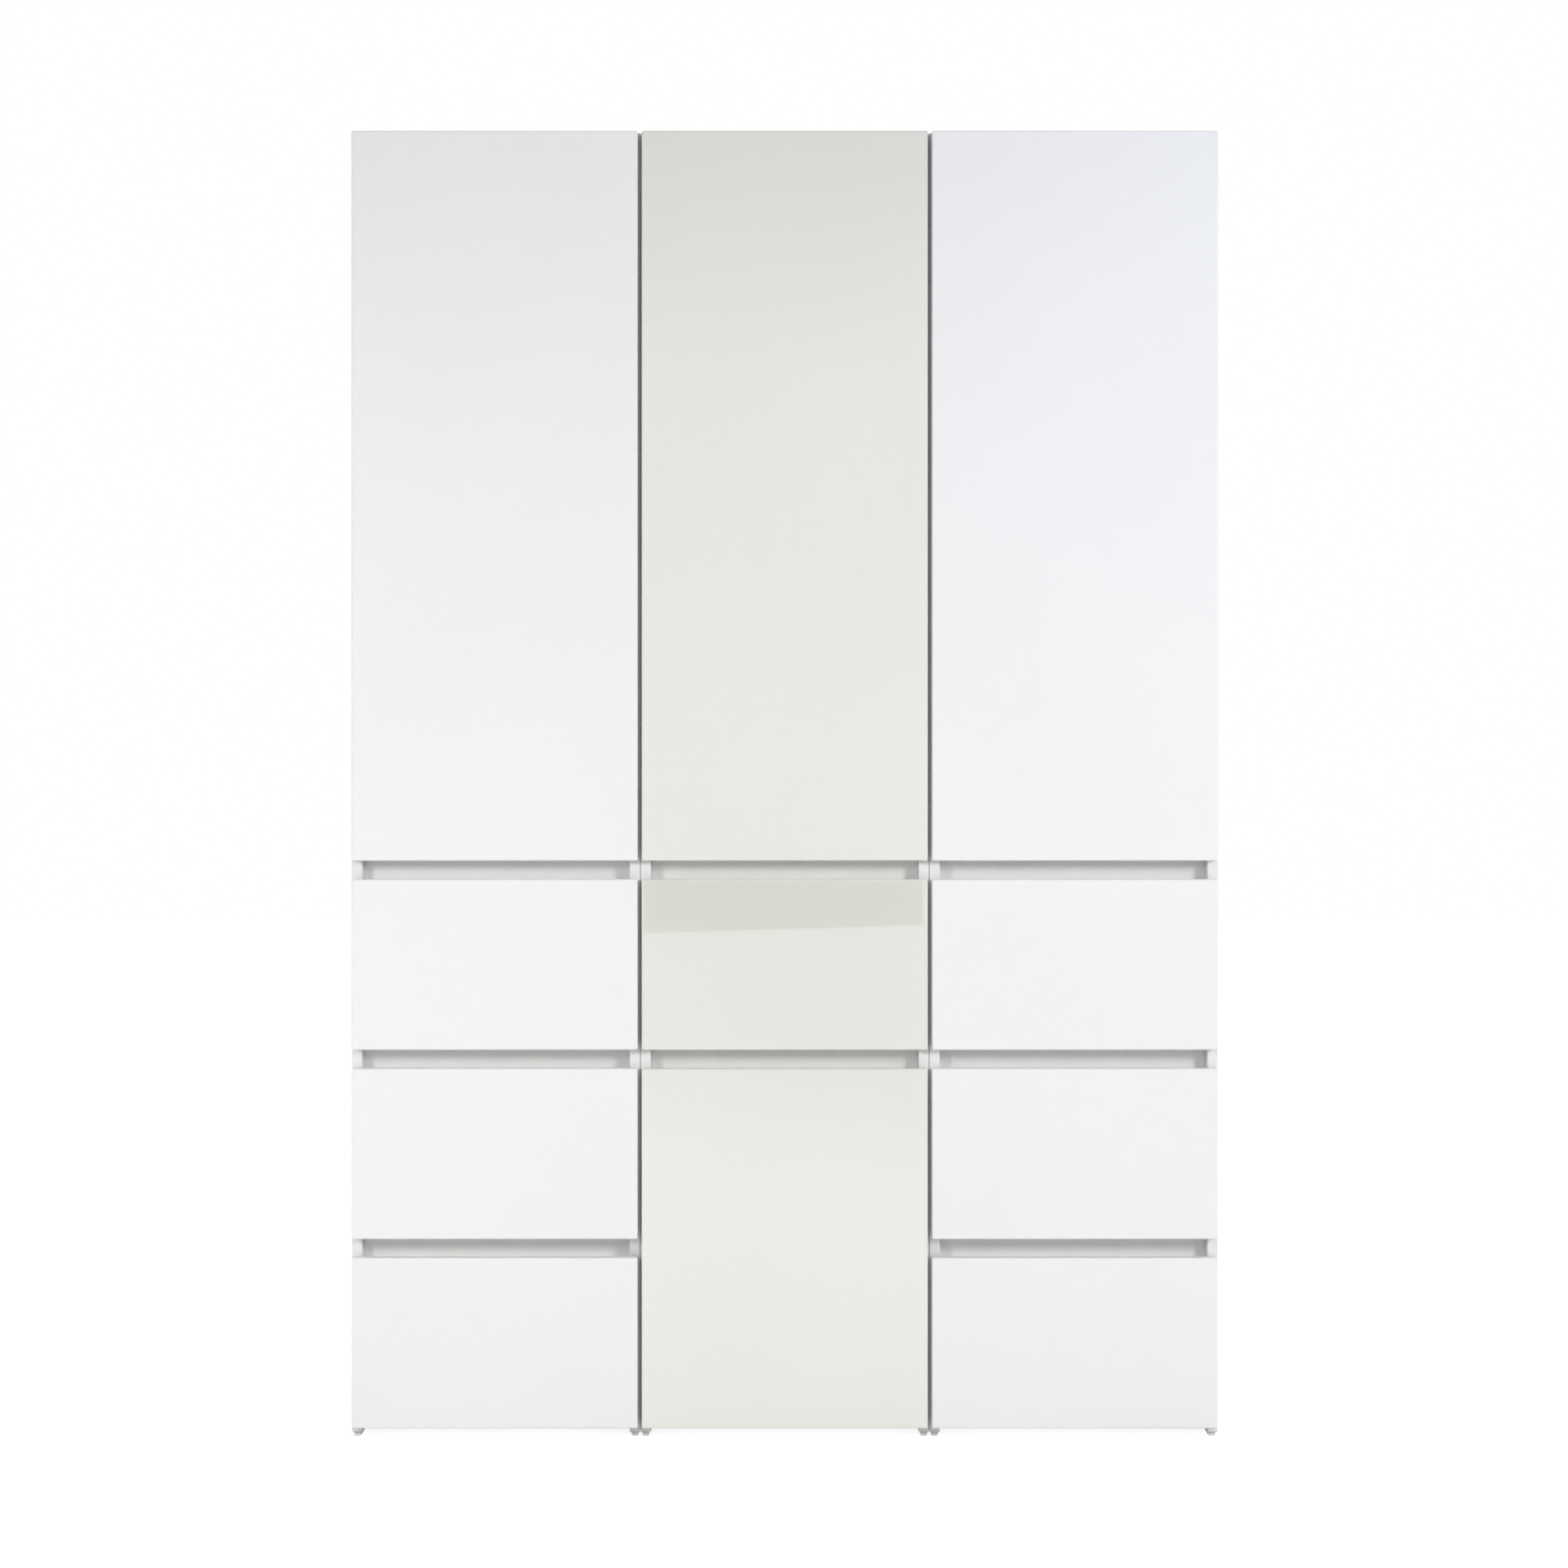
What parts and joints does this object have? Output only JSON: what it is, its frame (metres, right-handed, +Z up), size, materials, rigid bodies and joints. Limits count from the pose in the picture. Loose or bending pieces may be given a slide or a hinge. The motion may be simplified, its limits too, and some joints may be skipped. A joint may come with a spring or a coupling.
{
  "type": "closet with doors and drawers",
  "caption": "Tall closet of joined modules with hinged doors above and handle-free drawers below, opened by recessed grip channels between the fronts.",
  "frame": {"origin": "on the floor, in the middle of the closet's width and depth", "axes": "+X to the right seen from the front, +Y to the back, +Z up"},
  "size_m": [1.499, 0.5806, 2.257],
  "materials": {
    "front_white": "white satin gloss lacquer on board",
    "front_cream": "cream high gloss lacquer on board",
    "carcass_white": "matt white melamine on board",
    "back_white": "white foil on hardboard",
    "grip_white": "white powder coat",
    "drawer_box": "white foil on board",
    "hinge_nickel": "nickel plated",
    "rail_chrome": "bright chrome"
  },
  "bodies": {
    "carcass": {"left_left_side": "carcass_white", "left_right_side": "carcass_white", "left_floor": "carcass_white", "left_divider": "carcass_white", "left_top": "carcass_white", "left_back": "back_white", "left_lower_grip": "grip_white", "left_middle_grip": "grip_white", "left_upper_grip": "grip_white", "left_hinge_arm_bottom": "hinge_nickel", "left_hinge_arm_middle": "hinge_nickel", "left_hinge_arm_top": "hinge_nickel", "left_hat_shelf": "carcass_white", "left_clothes_rail": "rail_chrome", "centre_left_side": "carcass_white", "centre_right_side": "carcass_white", "centre_floor": "carcass_white", "centre_divider": "carcass_white", "centre_top": "carcass_white", "centre_back": "back_white", "centre_tall_grip": "grip_white", "centre_upper_grip": "grip_white", "centre_hinge_arm_bottom": "hinge_nickel", "centre_hinge_arm_middle": "hinge_nickel", "centre_hinge_arm_top": "hinge_nickel", "centre_lower_shelf": "carcass_white", "centre_upper_shelf": "carcass_white", "right_left_side": "carcass_white", "right_right_side": "carcass_white", "right_floor": "carcass_white", "right_divider": "carcass_white", "right_top": "carcass_white", "right_back": "back_white", "right_lower_grip": "grip_white", "right_middle_grip": "grip_white", "right_upper_grip": "grip_white", "right_hinge_arm_bottom": "hinge_nickel", "right_hinge_arm_middle": "hinge_nickel", "right_hinge_arm_top": "hinge_nickel", "right_hat_shelf": "carcass_white", "right_clothes_rail": "rail_chrome"},
    "left_lower_drawer": {"left_lower_drawer_front": "front_white", "left_lower_drawer_box": "drawer_box"},
    "left_middle_drawer": {"left_middle_drawer_front": "front_white", "left_middle_drawer_box": "drawer_box"},
    "left_upper_drawer": {"left_upper_drawer_front": "front_white", "left_upper_drawer_box": "drawer_box"},
    "left_door": {"left_door": "front_white"},
    "centre_tall_drawer": {"centre_tall_drawer_front": "front_cream", "centre_tall_drawer_box": "drawer_box"},
    "centre_upper_drawer": {"centre_upper_drawer_front": "front_cream", "centre_upper_drawer_box": "drawer_box"},
    "centre_door": {"centre_door": "front_cream"},
    "right_lower_drawer": {"right_lower_drawer_front": "front_white", "right_lower_drawer_box": "drawer_box"},
    "right_middle_drawer": {"right_middle_drawer_front": "front_white", "right_middle_drawer_box": "drawer_box"},
    "right_upper_drawer": {"right_upper_drawer_front": "front_white", "right_upper_drawer_box": "drawer_box"},
    "right_door": {"right_door": "front_white"}
  },
  "joints": [
    {"name": "left_lower_drawer_slide", "type": "slide", "parent": "carcass", "child": "left_lower_drawer", "axis": [0, -1, 0], "range_m": [0, 0.38]},
    {"name": "left_middle_drawer_slide", "type": "slide", "parent": "carcass", "child": "left_middle_drawer", "axis": [0, -1, 0], "range_m": [0, 0.38]},
    {"name": "left_upper_drawer_slide", "type": "slide", "parent": "carcass", "child": "left_upper_drawer", "axis": [0, -1, 0], "range_m": [0, 0.38]},
    {"name": "left_door_hinge", "type": "hinge", "parent": "carcass", "child": "left_door", "pos_m": [-0.7395, -0.28325, 1.627], "axis": [0, 0, -1], "range_deg": [0, 110]},
    {"name": "centre_tall_drawer_slide", "type": "slide", "parent": "carcass", "child": "centre_tall_drawer", "axis": [0, -1, 0], "range_m": [0, 0.38]},
    {"name": "centre_upper_drawer_slide", "type": "slide", "parent": "carcass", "child": "centre_upper_drawer", "axis": [0, -1, 0], "range_m": [0, 0.38]},
    {"name": "centre_door_hinge", "type": "hinge", "parent": "carcass", "child": "centre_door", "pos_m": [-0.2395, -0.28325, 1.627], "axis": [0, 0, -1], "range_deg": [0, 110]},
    {"name": "right_lower_drawer_slide", "type": "slide", "parent": "carcass", "child": "right_lower_drawer", "axis": [0, -1, 0], "range_m": [0, 0.38]},
    {"name": "right_middle_drawer_slide", "type": "slide", "parent": "carcass", "child": "right_middle_drawer", "axis": [0, -1, 0], "range_m": [0, 0.38]},
    {"name": "right_upper_drawer_slide", "type": "slide", "parent": "carcass", "child": "right_upper_drawer", "axis": [0, -1, 0], "range_m": [0, 0.38]},
    {"name": "right_door_hinge", "type": "hinge", "parent": "carcass", "child": "right_door", "pos_m": [0.7395, -0.28325, 1.627], "axis": [0, 0, 1], "range_deg": [0, 110]}
  ]
}
